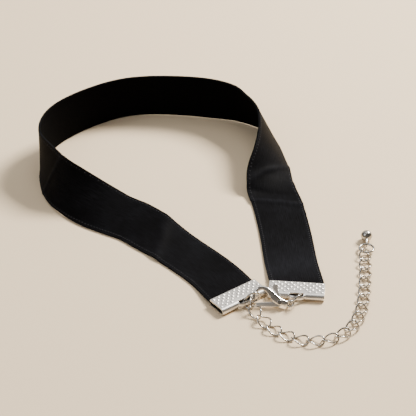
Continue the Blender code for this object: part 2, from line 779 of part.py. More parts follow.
def centre_on_surface(parent):
    """Move the whole choker so that its box stands centred over the origin."""
    bpy.context.view_layer.update()
    low = Vector((math.inf, math.inf, math.inf))
    high = -low
    for thing in bpy.data.objects:
        if thing.type != "MESH":
            continue
        for vertex in thing.data.vertices:
            corner = thing.matrix_world @ vertex.co
            low = Vector(min(a, b) for a, b in zip(low, corner))
            high = Vector(max(a, b) for a, b in zip(high, corner))
    parent.location = (-(low.x + high.x) * 0.5, -(low.y + high.y) * 0.5, -low.z)


def main():
    """Build every piece of the choker."""
    clear_scene()
    choker = bpy.data.objects.new("choker", None)
    bpy.context.scene.collection.objects.link(choker)
    cloth = material("black_ribbon", (0.012, 0.012, 0.014), 0.85, 0.0)
    silver = material("silver_plate", (0.80, 0.78, 0.75), 0.28, 1.0)
    steel = material("bright_steel", (0.72, 0.71, 0.70), 0.22, 1.0)
    build_ribbon(cloth, choker)
    build_crimp("crimp_left", LEFT_CRIMP_PLACE, LEFT_CRIMP_HEADING, silver, choker)
    build_crimp("crimp_right", RIGHT_CRIMP_PLACE, RIGHT_CRIMP_HEADING, silver, choker)
    left_ring = ring_mesh(LEFT_RING_PLACE, LEFT_RING_AXIS, JUMP_LEFT_DIAMETER, JUMP_WIRE)
    object_from("jump_ring_left", left_ring, steel, choker, WIRE_SOFT_ANGLE)
    right_ring = ring_mesh(RIGHT_RING_PLACE, RIGHT_RING_AXIS, JUMP_RIGHT_DIAMETER, JUMP_WIRE)
    object_from("jump_ring_right", right_ring, steel, choker, WIRE_SOFT_ANGLE)
    build_clasp_body(silver, choker)
    build_clasp_lever(steel, choker)
    build_clasp_pin(steel, choker)
    build_chain(steel, choker)
    build_chain_end(steel, choker)
    centre_on_surface(choker)


main()
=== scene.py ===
"""Looks of a ribbon choker: woven ribbon, plated metal ends, lobster clasp and extender chain.

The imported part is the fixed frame. Every piece here stands for one of its nodes, in metres, +Z up.
"""

import math

import bmesh
import bpy
import numpy as np
from bpy.props import FloatProperty, FloatVectorProperty, IntProperty, PointerProperty
from mathutils import Matrix, Vector


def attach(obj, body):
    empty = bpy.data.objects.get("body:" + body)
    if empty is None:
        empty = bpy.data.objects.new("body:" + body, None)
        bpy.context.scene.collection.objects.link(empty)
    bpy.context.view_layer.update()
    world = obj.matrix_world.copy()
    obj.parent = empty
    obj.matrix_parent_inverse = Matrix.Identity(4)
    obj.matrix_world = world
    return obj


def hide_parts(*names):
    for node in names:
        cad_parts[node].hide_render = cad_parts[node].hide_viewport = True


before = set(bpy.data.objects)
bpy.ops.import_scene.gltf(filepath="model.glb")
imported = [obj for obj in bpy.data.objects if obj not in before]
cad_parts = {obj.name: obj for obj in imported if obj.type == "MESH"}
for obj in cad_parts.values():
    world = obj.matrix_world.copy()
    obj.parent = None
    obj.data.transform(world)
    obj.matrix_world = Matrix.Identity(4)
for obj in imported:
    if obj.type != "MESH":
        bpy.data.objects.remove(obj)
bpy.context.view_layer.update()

bl_info = {
    "name": "Ribbon choker",
    "version": (1, 0, 0),
    "blender": (4, 5, 0),
    "location": "3D View > Sidebar > Choker",
    "description": "Makes the ribbon, the metal ends, the clasp and the chain of a choker",
    "category": "Object",
}

MM = 0.001
BODY = "choker"
LEVER_BODY = "lever"
LINKS = sorted(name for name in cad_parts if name.startswith("link_"))

# Where the layout lies: places are measured from the camera's aim on the surface
LEFT_RING_PLACE = Vector((12.29 * MM, -46.03 * MM, 2.32 * MM))
LEFT_CRIMP_PLACE = Vector((10.281 * MM, -46.842 * MM, 0.0))
LEFT_CRIMP_HEADING = math.radians(37.0)
RIGHT_CRIMP_PLACE = Vector((24.164 * MM, -44.671 * MM, 0.0))
RIGHT_CRIMP_HEADING = math.radians(-5.6)
CLASP_PLACE = Vector((12.0 * MM, -47.5 * MM, 0.70 * MM))
CLASP_HEADING = math.radians(-4.0)
CLASP_TILT = math.radians(50.0)
LOOP_MIDDLE = Vector((-10.0 * MM, 4.0 * MM, 0.0))
END_RING_PLACE = Vector((45.34 * MM, -21.80 * MM, 1.16 * MM))
END_RING_AXIS = Vector((-0.03, 0.0, 1.0))
DROP_HEADING = math.radians(85.7)

# The clasp in its own plane, as in the part: along and up are shares of its length and height, the
# half sizes of its section are shares of its height and thickness
CLAW_COLUMNS = ("along", "up", "half_width", "half_thickness")
CLAW_SECTIONS = (
    (0.830, 0.185, 0.110, 0.32),
    (0.760, 0.195, 0.165, 0.43),
    (0.650, 0.260, 0.230, 0.50),
    (0.545, 0.400, 0.235, 0.50),
    (0.435, 0.640, 0.168, 0.42),
    (0.340, 0.810, 0.134, 0.34),
    (0.235, 0.890, 0.108, 0.30),
    (0.140, 0.835, 0.100, 0.29),
    (0.064, 0.660, 0.090, 0.27),
    (0.034, 0.480, 0.080, 0.26),
    (0.040, 0.300, 0.062, 0.22),
)
LEVER_OUTLINE = (
    (0.110, 0.000),
    (0.096, 0.078),
    (0.103, 0.160),
    (0.470, 0.235),
    (0.575, 0.340),
    (0.545, 0.700),
    (0.482, 0.860),
    (0.464, 1.000),
    (0.488, 1.095),
    (0.572, 1.095),
    (0.600, 1.000),
    (0.602, 0.860),
    (0.626, 0.700),
    (0.690, 0.375),
    (0.728, 0.270),
    (0.728, 0.160),
    (0.690, 0.055),
    (0.620, 0.010),
    (0.470, -0.005),
    (0.280, -0.010),
)
SLOT_OUTLINE = (
    (0.350, -0.100),
    (0.350, 0.520),
    (0.435, 0.560),
    (0.505, 0.560),
    (0.505, 1.300),
    (0.720, 1.300),
    (0.750, 0.450),
    (0.750, -0.100),
)
PIVOT = (0.652, 0.215)
EYE = (0.900, 0.180)

# Ribbon sections, as in the part: the floor edge's place as shares of the loop's width and depth,
# the direction from the floor edge to the other edge, and the lean, 0 flat and 90 upright
SECTION_COLUMNS = ("across", "along", "facing", "lean")
SECTIONS = (
    (0.062, -0.423, 41, 0),
    (-0.058, -0.309, 47, 2),
    (-0.138, -0.246, 50, 12),
    (-0.192, -0.205, 52, 15),
    (-0.252, -0.176, 57, 18),
    (-0.328, -0.136, 53, 31),
    (-0.400, -0.080, 42, 46),
    (-0.452, -0.017, 32, 61),
    (-0.485, 0.060, 20, 73),
    (-0.497, 0.150, 5, 88),
    (-0.483, 0.240, -15, 92),
    (-0.440, 0.325, -35, 91),
    (-0.350, 0.408, -55, 89),
    (-0.235, 0.475, -68, 87),
    (-0.120, 0.502, -85, 86),
    (0.020, 0.496, -96, 88),
    (0.133, 0.479, -100, 88),
    (0.228, 0.462, -105, 80),
    (0.297, 0.431, -118, 70),
    (0.354, 0.385, -140, 65),
    (0.388, 0.305, -164, 63),
    (0.408, 0.225, -168, 55),
    (0.423, 0.158, -172, 42),
    (0.4315, 0.090, -176, 20),
    (0.4435, 0.035, -179, 5),
    (0.4605, -0.030, -183, 0),
    (0.480, -0.170, -184, 0),
    (0.494, -0.330, -185, 0),
)

# Creases of the outer face: where each crosses the ribbon's middle and how far it slants over the
# width, its height and half width, in millimetres, and how much painted highlight lightens its crest
CREASE_COLUMNS = ("along", "slant", "height", "half_width", "light")
CREASES = (
    (36.0, 0.60, 0.40, 2.2, 0.10),
    (78.0, -0.11, 0.25, 0.55, 0.50),
    (206.6, 0.73, 0.26, 1.0, 0.40),
    (216.2, -0.38, -0.35, 1.2, 0.0),
    (220.0, -0.38, 0.40, 1.0, 0.40),
    # The last two rows have no height: they are only broad painted highlights near the two ends
    (251.0, 0.20, 0.0, 8.0, 0.60),
    (24.0, 0.40, 0.0, 7.0, 0.12),
)


class RibbonSettings(bpy.types.PropertyGroup):
    """Sizes and colours of the ribbon."""

    width: FloatProperty(name="Width", description="Width of the ribbon", default=15.0 * MM, unit="LENGTH")
    thickness: FloatProperty(
        name="Thickness", description="Thickness of the woven band", default=0.6 * MM, unit="LENGTH"
    )
    loop_width: FloatProperty(
        name="Loop width", description="Width of the lying loop", default=83.0 * MM, unit="LENGTH"
    )
    loop_depth: FloatProperty(
        name="Loop depth", description="Depth of the lying loop", default=97.0 * MM, unit="LENGTH"
    )
    insert: FloatProperty(
        name="Insert", description="Length hidden in each metal end", default=3.6 * MM, unit="LENGTH"
    )
    mesh_step: FloatProperty(
        name="Mesh step", description="Distance between the rows of faces", default=0.6 * MM, unit="LENGTH"
    )
    columns: IntProperty(name="Columns", description="Faces across the ribbon", default=24, min=4)
    rib_pitch: FloatProperty(
        name="Rib pitch", description="Distance between lengthwise ribs", default=0.56 * MM, unit="LENGTH"
    )
    stitch_pitch: FloatProperty(
        name="Stitch pitch", description="Distance between edge stitches", default=0.95 * MM, unit="LENGTH"
    )
    stitch_inset: FloatProperty(
        name="Stitch inset", description="Distance of the stitches from the edge", default=0.8 * MM, unit="LENGTH"
    )
    colour: FloatVectorProperty(
        name="Face colour", description="Colour of the outer face", subtype="COLOR", default=(0.0018, 0.0016, 0.0017)
    )
    # Colour of the rib crests, and also what the painted highlights on creases and near the ends lighten towards
    crest_and_highlight_colour: FloatVectorProperty(
        name="Crest colour", description="Colour of the ribs' crests", subtype="COLOR", default=(0.0112, 0.0115, 0.0142)
    )
    back_colour: FloatVectorProperty(
        name="Back colour", description="Colour of the inner face", subtype="COLOR", default=(0.0013, 0.0012, 0.0014)
    )


class MetalSettings(bpy.types.PropertyGroup):
    """Sizes and finish of the metal pieces."""

    crimp_depth: FloatProperty(
        name="End depth", description="Depth of a folded end", default=6.0 * MM, unit="LENGTH"
    )
    crimp_height: FloatProperty(
        name="End height", description="Height of a folded end", default=2.14 * MM, unit="LENGTH"
    )
    crimp_width: FloatProperty(
        name="End width", description="Width of a folded end", default=15.4 * MM, unit="LENGTH"
    )
    plate: FloatProperty(
        name="Plate thickness", description="Thickness of the folded plate", default=0.45 * MM, unit="LENGTH"
    )
    loop_reach: FloatProperty(
        name="Loop reach", description="How far the stamped loop stands out of the fold", default=0.95 * MM, unit="LENGTH"
    )
    dot_radius: FloatProperty(
        name="Dot radius", description="Radius of a raised dot", default=0.45 * MM, unit="LENGTH"
    )
    dot_height: FloatProperty(
        name="Dot height", description="Height of a raised dot", default=0.20 * MM, unit="LENGTH"
    )
    clasp_length: FloatProperty(
        name="Clasp length", description="Length of the clasp", default=11.5 * MM, unit="LENGTH"
    )
    clasp_height: FloatProperty(
        name="Clasp height", description="Height of the clasp's hook", default=5.6 * MM, unit="LENGTH"
    )
    clasp_thickness: FloatProperty(
        name="Clasp thickness", description="Thickness of the clasp", default=1.9 * MM, unit="LENGTH"
    )
    lever_thickness: FloatProperty(
        name="Lever thickness", description="Thickness of the lever", default=0.7 * MM, unit="LENGTH"
    )
    ball_diameter: FloatProperty(
        name="Ball diameter", description="Diameter of the ball", default=3.3 * MM, unit="LENGTH"
    )
    link_wire: FloatProperty(name="Link wire", description="Wire of a link", default=0.5 * MM, unit="LENGTH")
    jump_wire: FloatProperty(
        name="Jump ring wire", description="Wire of a jump ring", default=0.55 * MM, unit="LENGTH"
    )
    end_wire: FloatProperty(name="End ring wire", description="Wire of the end ring", default=0.65 * MM, unit="LENGTH")
    link_twist: FloatProperty(
        name="Link twist", description="Turn of each end of a link", default=math.radians(45.0), subtype="ANGLE"
    )
    ring_cut: FloatProperty(name="Ring cut", description="Share of a jump ring left open", default=0.012)
    colour: FloatVectorProperty(
        name="Metal colour", description="Colour of the plating", subtype="COLOR", default=(0.86, 0.84, 0.81)
    )
    shade_colour: FloatVectorProperty(
        name="Patina colour", description="Colour of the duller patches", subtype="COLOR", default=(0.70, 0.67, 0.63)
    )
    wire_colour: FloatVectorProperty(
        name="Wire colour", description="Colour of the chain and rings", subtype="COLOR", default=(0.60, 0.58, 0.55)
    )
    wire_shade: FloatVectorProperty(
        name="Wire patina", description="Colour of their duller patches", subtype="COLOR", default=(0.34, 0.32, 0.29)
    )


class StageSettings(bpy.types.PropertyGroup):
    """Camera, floor and lights."""

    elevation: FloatProperty(
        name="Elevation", description="Angle of the camera above the floor", default=math.radians(35.0), subtype="ANGLE"
    )
    distance: FloatProperty(
        name="Distance", description="Distance of the camera from its aim", default=476.0 * MM, unit="LENGTH"
    )
    focal_length: FloatProperty(name="Focal length", description="Lens in millimetres", default=138.46)
    floor_colour: FloatVectorProperty(
        name="Floor colour", description="Colour of the floor", subtype="COLOR", default=(0.92, 0.735, 0.505)
    )
    key_power: FloatProperty(name="Key light", description="Power of the key light in watts", default=13.5)
    fill_power: FloatProperty(name="Fill light", description="Power of the fill light in watts", default=1.3)


def select_only(*pieces):
    """Select these objects alone, the last one active."""
    bpy.ops.object.select_all(action="DESELECT")
    for piece in pieces:
        piece.select_set(True)
    bpy.context.view_layer.objects.active = pieces[-1]


def apply_modifiers(piece):
    """Apply a piece's modifiers from the top."""
    select_only(piece)
    for modifier in list(piece.modifiers):
        bpy.ops.object.modifier_apply(modifier=modifier.name)


def place_in_mesh(piece):
    """Bring the object's place into its mesh."""
    piece.data.transform(piece.matrix_world)
    piece.matrix_world = Matrix.Identity(4)


def dress(piece, name, body, slot, *nodes):
    """Name a finished piece, seat it on its body and hide the nodes it stands for."""
    piece.name = name
    piece.data.name = name
    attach(piece, body)
    if nodes:
        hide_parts(*nodes)
    return piece


def new_piece(name, vertices, faces):
    """A mesh object from its points and faces."""
    mesh = bpy.data.meshes.new(name)
    mesh.from_pydata(vertices, [], faces)
    mesh.validate()
    piece = bpy.data.objects.new(name, mesh)
    bpy.context.scene.collection.objects.link(piece)
    return piece


def layout_shift():
    """How far the frame's origin lies from the layout's."""
    return pose_of("jump_ring_left").to_translation() - LEFT_RING_PLACE


def pose_of(node):
    """A ring's or link's own frame from its node: X along it, Y across, Z out of its plane."""
    points = np.array([tuple(v.co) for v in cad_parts[node].data.vertices])
    points = np.unique(points.round(7), axis=0)
    middle = points.mean(0)
    spread, axes = np.linalg.eigh(np.cov((points - middle).T))
    along, across = Vector(axes[:, 2]), Vector(axes[:, 1])
    pose = Matrix((along, across, along.cross(across))).transposed().to_4x4()
    pose.translation = Vector(middle)
    return pose


def loop_radii(node, pose, wire):
    """A ring's or link's half length and half width, to the middle of its wire."""
    back = pose.inverted()
    points = np.array([tuple(back @ v.co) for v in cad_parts[node].data.vertices])
    reach = np.linalg.norm(points[:, 1:], axis=1)
    return points[:, 0].max() - wire * 0.5, reach.max() - wire * 0.5


def smooth_through(points, steps):
    """Points on a smooth curve that passes through the given points."""
    out = []
    for i in range(len(points) - 1):
        before = points[max(i - 1, 0)]
        start = points[i]
        end = points[i + 1]
        after = points[min(i + 2, len(points) - 1)]
        for k in range(steps):
            t = k / steps
            out.append(
                0.5
                * (
                    2.0 * start
                    + (end - before) * t
                    + (2.0 * before - 5.0 * start + 4.0 * end - after) * t * t
                    + (3.0 * start - before - 3.0 * end + after) * t**3
                )
            )
    out.append(points[-1].copy())
    return out


# Materials


class Nodes:
    """Short ways to add and join shader nodes."""

    def __init__(self, name):
        self.material = bpy.data.materials.new(name)
        self.material.use_nodes = True
        self.tree = self.material.node_tree
        self.shader = self.tree.nodes["Principled BSDF"]

    def add(self, kind, **values):
        node = self.tree.nodes.new(kind)
        for key, value in values.items():
            setattr(node, key, value)
        return node

    def join(self, output, socket):
        self.tree.links.new(output, socket)

    def feed(self, socket, value):
        if isinstance(value, bpy.types.NodeSocket):
            self.join(value, socket)
        else:
            socket.default_value = value

    def math(self, operation, first, second=0.0, third=0.0):
        node = self.add("ShaderNodeMath", operation=operation)
        for socket, value in zip(node.inputs, (first, second, third)):
            self.feed(socket, value)
        return node.outputs[0]

    def mix(self, factor, first, second):
        node = self.add("ShaderNodeMix", data_type="RGBA")
        self.feed(node.inputs[0], factor)
        self.feed(node.inputs[6], first)
        self.feed(node.inputs[7], second)
        return node.outputs[2]

    def noise(self, vector, scale, detail=2.0, roughness=0.5):
        node = self.add("ShaderNodeTexNoise")
        self.join(vector, node.inputs["Vector"])
        node.inputs["Scale"].default_value = scale
        node.inputs["Detail"].default_value = detail
        node.inputs["Roughness"].default_value = roughness
        return node.outputs["Fac"]

    def ramp(self, value, low, high):
        node = self.add("ShaderNodeMapRange", clamp=True)
        for socket, given in zip(node.inputs, (value, 0.0, 1.0, low, high)):
            self.feed(socket, given)
        return node.outputs[0]

    def wave(self, value, period):
        """0 in the grooves and 1 on the crests of a pattern that repeats each period."""
        turn = self.math("SINE", self.math("MULTIPLY", value, 2.0 * math.pi / period))
        return self.math("MULTIPLY_ADD", turn, 0.5, 0.5)

    def bump(self, height, distance, strength=1.0):
        node = self.add("ShaderNodeBump")
        node.inputs["Strength"].default_value = strength
        node.inputs["Distance"].default_value = distance
        self.join(height, node.inputs["Height"])
        self.join(node.outputs[0], self.shader.inputs["Normal"])


def rgba(colour):
    """A colour with full cover."""
    return (*colour, 1.0)


def woven_face(settings):
    """The outer face: fine lengthwise ribs, cross threads, a denser selvedge and painted highlights on the creases and
    near the ends.
    """
    n = Nodes("woven_face")
    uv = n.add("ShaderNodeUVMap", uv_map="weave").outputs[0]
    split = n.add("ShaderNodeSeparateXYZ")
    n.join(uv, split.inputs[0])
    across, along = split.outputs[0], split.outputs[1]
    ribs = n.wave(across, settings.rib_pitch / MM)
    threads = n.wave(along, 0.42)
    edge = n.math("ABSOLUTE", n.math("SUBTRACT", across, settings.width / MM * 0.5))
    selvedge = n.math("GREATER_THAN", edge, settings.width / MM * 0.5 - 1.25)
    streaks = n.add("ShaderNodeVectorMath", operation="MULTIPLY")
    n.join(uv, streaks.inputs[0])
    streaks.inputs[1].default_value = (2.6, 0.30, 1.0)
    long_noise = n.noise(streaks.outputs[0], 1.0, 3.0, 0.6)
    cloud = n.noise(uv, 0.09, 2.0, 0.5)
    fuzz = n.noise(uv, 3.5, 3.0, 0.7)
    tone = n.math("MULTIPLY_ADD", ribs, 0.12, n.math("MULTIPLY", n.ramp(long_noise, -0.8, 1.6), 0.5))
    tone = n.math("MULTIPLY", tone, n.ramp(cloud, -0.6, 2.0))
    tone = n.math("ADD", tone, n.math("MULTIPLY", n.ramp(fuzz, -0.8, 1.4), 0.14))
    tone = n.math("ADD", tone, n.math("MULTIPLY", n.math("MULTIPLY", selvedge, threads), 0.4))
    # Painted highlight: each crease row lightens the tone in a band along its crease
    for row in CREASES:
        crease = dict(zip(CREASE_COLUMNS, row))
        middle = crease["along"] - crease["slant"] * settings.width / MM * 0.5
        off = n.math("SUBTRACT", along, n.math("MULTIPLY_ADD", across, crease["slant"], middle))
        crease_highlight = n.math("SUBTRACT", 1.0, n.math("MULTIPLY", n.math("ABSOLUTE", off), 0.7 / crease["half_width"]))
        crease_highlight = n.math("MULTIPLY", n.ramp(crease_highlight, 0.0, 1.0), crease["light"])
        tone = n.math("ADD", tone, n.math("MULTIPLY", crease_highlight, n.ramp(long_noise, 0.4, 1.2)))
    colour = n.mix(n.ramp(tone, 0.0, 1.0), rgba(settings.colour), rgba(settings.crest_and_highlight_colour))
    n.join(colour, n.shader.inputs["Base Color"])
    n.join(n.ramp(n.math("MULTIPLY_ADD", fuzz, 0.6, cloud), 0.42, 0.62), n.shader.inputs["Roughness"])
    n.shader.inputs["Specular IOR Level"].default_value = 0.02
    n.shader.inputs["Sheen Weight"].default_value = 0.006
    n.shader.inputs["Sheen Roughness"].default_value = 0.45
    n.shader.inputs["Sheen Tint"].default_value = (0.75, 0.80, 1.0, 1.0)
    height = n.math("ADD", n.math("MULTIPLY", ribs, 0.4), n.math("MULTIPLY", threads, 0.25))
    n.bump(n.math("ADD", height, n.math("ADD", fuzz, long_noise)), 0.04 * MM, 0.7)
    return n.material


def woven_back(settings):
    """The inner face: dull, close and darker."""
    n = Nodes("woven_back")
    uv = n.add("ShaderNodeUVMap", uv_map="weave").outputs[0]
    split = n.add("ShaderNodeSeparateXYZ")
    n.join(uv, split.inputs[0])
    ribs = n.wave(split.outputs[0], settings.rib_pitch / MM)
    threads = n.wave(split.outputs[1], 0.5)
    fuzz = n.noise(uv, 3.0, 3.0, 0.7)
    tone = n.math("MULTIPLY_ADD", ribs, 0.3, n.math("MULTIPLY", fuzz, 0.5))
    colour = n.mix(n.ramp(tone, 0.0, 1.0), rgba(settings.back_colour), rgba(settings.colour))
    n.join(colour, n.shader.inputs["Base Color"])
    n.join(n.ramp(fuzz, 0.8, 0.95), n.shader.inputs["Roughness"])
    n.shader.inputs["Specular IOR Level"].default_value = 0.03
    n.bump(n.math("ADD", n.math("MULTIPLY", ribs, 0.6), n.math("MULTIPLY", threads, 0.4)), 0.04 * MM, 0.6)
    return n.material


def stitch_thread(settings):
    """The selvedge's thread, a little shinier than the band."""
    n = Nodes("stitch_thread")
    place = n.add("ShaderNodeTexCoord").outputs["Object"]
    fuzz = n.noise(place, 2600.0, 2.0, 0.6)
    colour = n.mix(fuzz, rgba(settings.colour), rgba([1.6 * c for c in settings.crest_and_highlight_colour]))
    n.join(colour, n.shader.inputs["Base Color"])
    n.join(n.ramp(fuzz, 0.35, 0.6), n.shader.inputs["Roughness"])
    n.shader.inputs["Specular IOR Level"].default_value = 0.15
    n.bump(fuzz, 0.02 * MM, 0.5)
    return n.material


def plated_metal(name, shade, light, roughness, patches, grain):
    """Bright plating with duller patches, fine grain and soft dents."""
    n = Nodes(name)
    place = n.add("ShaderNodeTexCoord").outputs["Object"]
    cloud = n.noise(place, patches, 3.0, 0.55)
    fine = n.noise(place, grain, 3.0, 0.65)
    worn = n.ramp(n.math("MULTIPLY_ADD", fine, 0.35, n.math("MULTIPLY", cloud, 0.65)), -0.4, 1.4)
    n.join(n.mix(worn, rgba(shade), rgba(light)), n.shader.inputs["Base Color"])
    n.join(n.ramp(n.math("SUBTRACT", 1.0, worn), roughness * 0.7, roughness * 1.5), n.shader.inputs["Roughness"])
    n.shader.inputs["Metallic"].default_value = 1.0
    n.bump(n.math("ADD", n.math("MULTIPLY", cloud, 1.0), n.math("MULTIPLY", fine, 0.35)), 0.03 * MM, 0.35)
    return n.material


# Ribbon


def ribbon_rails(settings):
    """Middle points of the ribbon and the way from its floor edge to its other edge, end to end."""
    shift = layout_shift()
    middles, reaches = [], []

    def end_pair(place, heading, side, into):
        turn = Matrix.Rotation(heading, 3, "Z")
        mouth = place + turn @ Vector((0.0, get("metal").crimp_depth + into, 0.0))
        middles.append(mouth + Vector((0.0, 0.0, get("metal").crimp_height * 0.5)))
        reaches.append(turn @ Vector((side * settings.width, 0.0, 0.0)))

    for into in (-settings.insert, 0.0):
        end_pair(LEFT_CRIMP_PLACE, LEFT_CRIMP_HEADING, 1.0, into)
    for row in SECTIONS:
        section = dict(zip(SECTION_COLUMNS, row))
        facing, lean = math.radians(section["facing"]), math.radians(section["lean"])
        foot = LOOP_MIDDLE + Vector(
            (section["across"] * settings.loop_width, section["along"] * settings.loop_depth, 0.0)
        )
        foot.z = settings.thickness * 0.5 * math.cos(lean)
        flat = Vector((math.cos(facing), math.sin(facing), 0.0)) * math.cos(lean)
        reach = (flat + Vector((0.0, 0.0, math.sin(lean)))) * settings.width
        middles.append(foot + reach * 0.5)
        reaches.append(reach)
    for into in (0.0, -settings.insert):
        end_pair(RIGHT_CRIMP_PLACE, RIGHT_CRIMP_HEADING, -1.0, into)
    return [m + shift for m in middles], reaches


def even_rails(middles, reaches, step):
    """The same rails at equal steps along the middle line, with the length run so far."""
    fine = 24
    path, turns = smooth_through(middles, fine), smooth_through(reaches, fine)
    runs = [0.0]
    for start, end in zip(path[:-1], path[1:]):
        runs.append(runs[-1] + (end - start).length)
    count = round(runs[-1] / step)
    points, spans, lengths = [], [], []
    at = 0
    for k in range(count + 1):
        run = runs[-1] * k / count
        while at < len(runs) - 2 and runs[at + 1] < run:
            at += 1
        share = (run - runs[at]) / (runs[at + 1] - runs[at])
        points.append(path[at].lerp(path[at + 1], share))
        spans.append(turns[at].lerp(turns[at + 1], share))
        lengths.append(run)
    return points, spans, lengths


def ribbon_frames(settings):
    """At each step: the middle, the unit way across, the outward normal and the length so far."""
    points, spans, lengths = even_rails(*ribbon_rails(settings), settings.mesh_step)
    out = []
    for i, point in enumerate(points):
        ahead, behind = points[min(i + 1, len(points) - 1)], points[max(i - 1, 0)]
        along = (ahead - behind).normalized()
        across = (spans[i] - along * spans[i].dot(along)).normalized()
        normal = across.cross(along).normalized()
        drop = settings.width * 0.5 * abs(across.z) + settings.thickness * 0.5 * abs(normal.z)
        lift = max(0.0, drop - point.z)
        out.append((point + Vector((0.0, 0.0, lift)), across, normal, lengths[i]))
    return out


def crease_height(settings, across, run):
    """How far the creases lift the band at a place on it, across measured from its middle."""
    lift = 0.0
    for row in CREASES:
        crease = dict(zip(CREASE_COLUMNS, row))
        off = (run - across * crease["slant"]) / MM - crease["along"]
        lift += crease["height"] * MM * math.exp(-((off / crease["half_width"]) ** 2))
    return lift


def make_ribbon(settings):
    """The band as one curved sheet with a fine grid, then its thickness and soft edges."""
    frames = ribbon_frames(settings)
    columns = settings.columns
    vertices, faces = [], []
    for point, across, normal, run in frames:
        for k in range(columns + 1):
            side = settings.width * (k / columns - 0.5)
            place = point + across * side + normal * crease_height(settings, side, run)
            place.z = max(place.z, settings.thickness * 0.5)
            vertices.append(place)
    for i in range(len(frames) - 1):
        for k in range(columns):
            low = i * (columns + 1) + k
            faces.append((low, low + 1, low + columns + 2, low + columns + 1))
    band = new_piece("ribbon_band", vertices, faces)
    weave = band.data.uv_layers.new(name="weave")
    for loop in band.data.loops:
        row, column = divmod(loop.vertex_index, columns + 1)
        weave.data[loop.index].uv = (column / columns * settings.width / MM, frames[row][3] / MM)
    outward = band.data.polygons[0].normal.dot(frames[0][2])
    if outward < 0.0:
        band.data.flip_normals()
    band.data.materials.append(woven_face(settings))
    band.data.materials.append(woven_back(settings))
    wall = band.modifiers.new("Wall", "SOLIDIFY")
    wall.thickness = settings.thickness
    wall.offset = 0.0
    wall.material_offset = 1
    edge = band.modifiers.new("Soft edge", "BEVEL")
    edge.width = settings.thickness * 0.3
    edge.segments = 2
    edge.limit_method = "ANGLE"
    edge.angle_limit = math.radians(60.0)
    apply_modifiers(band)
    bpy.ops.object.shade_smooth_by_angle(angle=math.radians(50.0))
    return band, frames


def make_stitches(settings, frames):
    """Two rows of small stitches along each edge of the outer face."""
    bpy.ops.object.select_all(action="DESELECT")
    bpy.ops.mesh.primitive_ico_sphere_add(subdivisions=1, radius=1.0)
    seed = bpy.context.object
    base = [v.co.copy() for v in seed.data.vertices]
    shape = [tuple(p.vertices) for p in seed.data.polygons]
    bpy.data.objects.remove(seed, do_unlink=True)
    vertices, faces = [], []
    size = Vector((0.20 * MM, 0.34 * MM, 0.14 * MM))
    count = round(frames[-1][3] / settings.stitch_pitch)
    hidden = settings.insert + 0.6 * MM
    for k in range(count):
        run = settings.stitch_pitch * (k + 0.5)
        if run < hidden or run > frames[-1][3] - hidden:
            continue
        at = min(int(run / frames[-1][3] * (len(frames) - 1)), len(frames) - 2)
        point, across, normal, start = frames[at]
        along = (frames[at + 1][0] - point).normalized()
        point = point + along * (run - start)
        for side in (-1.0, 1.0):
            inset = settings.width * 0.5 - settings.stitch_inset
            rise = settings.thickness * 0.5 + crease_height(settings, side * inset, run)
            middle = point + across * side * inset + normal * rise
            first = len(vertices)
            for v in base:
                vertices.append(middle + across * v.x * size.x + along * v.y * size.y + normal * v.z * size.z)
            faces.extend(tuple(first + i for i in face) for face in shape)
    stitches = new_piece("ribbon_stitches", vertices, faces)
    stitches.data.shade_smooth()
    stitches.data.materials.append(stitch_thread(settings))
    return stitches


# Wire pieces


def wire_loop(half_length, half_width, wire, cut=0.0, segments=14, sides=3):
    """A loop of round wire lying in its own plane, made from a curve, left open by a small cut."""
    bpy.ops.object.select_all(action="DESELECT")
    bpy.ops.curve.primitive_bezier_circle_add(radius=1.0)
    loop = bpy.context.object
    bpy.ops.object.mode_set(mode="EDIT")
    bpy.ops.curve.select_all(action="SELECT")
    bpy.ops.transform.resize(value=(half_length, half_width, 1.0), center_override=(0.0, 0.0, 0.0))
    bpy.ops.object.mode_set(mode="OBJECT")
    loop.data.bevel_depth = wire * 0.5
    loop.data.bevel_resolution = sides
    loop.data.resolution_u = segments
    if cut:
        loop.data.bevel_factor_end = 1.0 - cut
        loop.data.use_fill_caps = True
    bpy.ops.object.convert(target="MESH")
    loop = bpy.context.object
    loop.data.shade_smooth()
    return loop


def copy_at(master, pose, material):
    """A copy of a master piece with its own mesh, put at a pose."""
    copy = bpy.data.objects.new(master.name, master.data.copy())
    bpy.context.scene.collection.objects.link(copy)
    copy.data.transform(pose)
    copy.data.materials.clear()
    copy.data.materials.append(material)
    return copy


def make_links(settings, material):
    """One twisted link, then a copy for each link of the chain."""
    first = LINKS[0]
    half_length, half_width = loop_radii(first, pose_of(first), settings.link_wire)
    master = wire_loop(half_length, half_width, settings.link_wire)
    twist = master.modifiers.new("Twist", "SIMPLE_DEFORM")
    twist.deform_method = "TWIST"
    twist.deform_axis = "X"
    reach = (half_length + settings.link_wire * 0.5) / half_length
    twist.angle = 2.0 * settings.link_twist * reach
    apply_modifiers(master)
    for node in LINKS:
        link = copy_at(master, pose_of(node), material)
        dress(link, node.replace("link", "chain_link"), BODY, "bright_steel", node)
    bpy.data.objects.remove(master, do_unlink=True)


def make_ring(node, name, wire, cut, material):
    """A round ring for a ring node."""
    pose = pose_of(node)
    half, other = loop_radii(node, pose, wire)
    ring = wire_loop(half, half, wire, cut)
    ring.data.transform(pose)
    ring.data.materials.clear()
    ring.data.materials.append(material)
    return dress(ring, name, BODY, "bright_steel", node)


# Folded ends


def crimp_pose(place, heading):
    """A folded end's own frame at its mouth: X along its width, +Y into the ribbon."""
    fold = Matrix.Translation(place + layout_shift()) @ Matrix.Rotation(heading, 4, "Z")
    return fold @ Matrix.Translation((0.0, get("metal").crimp_depth, 0.0))


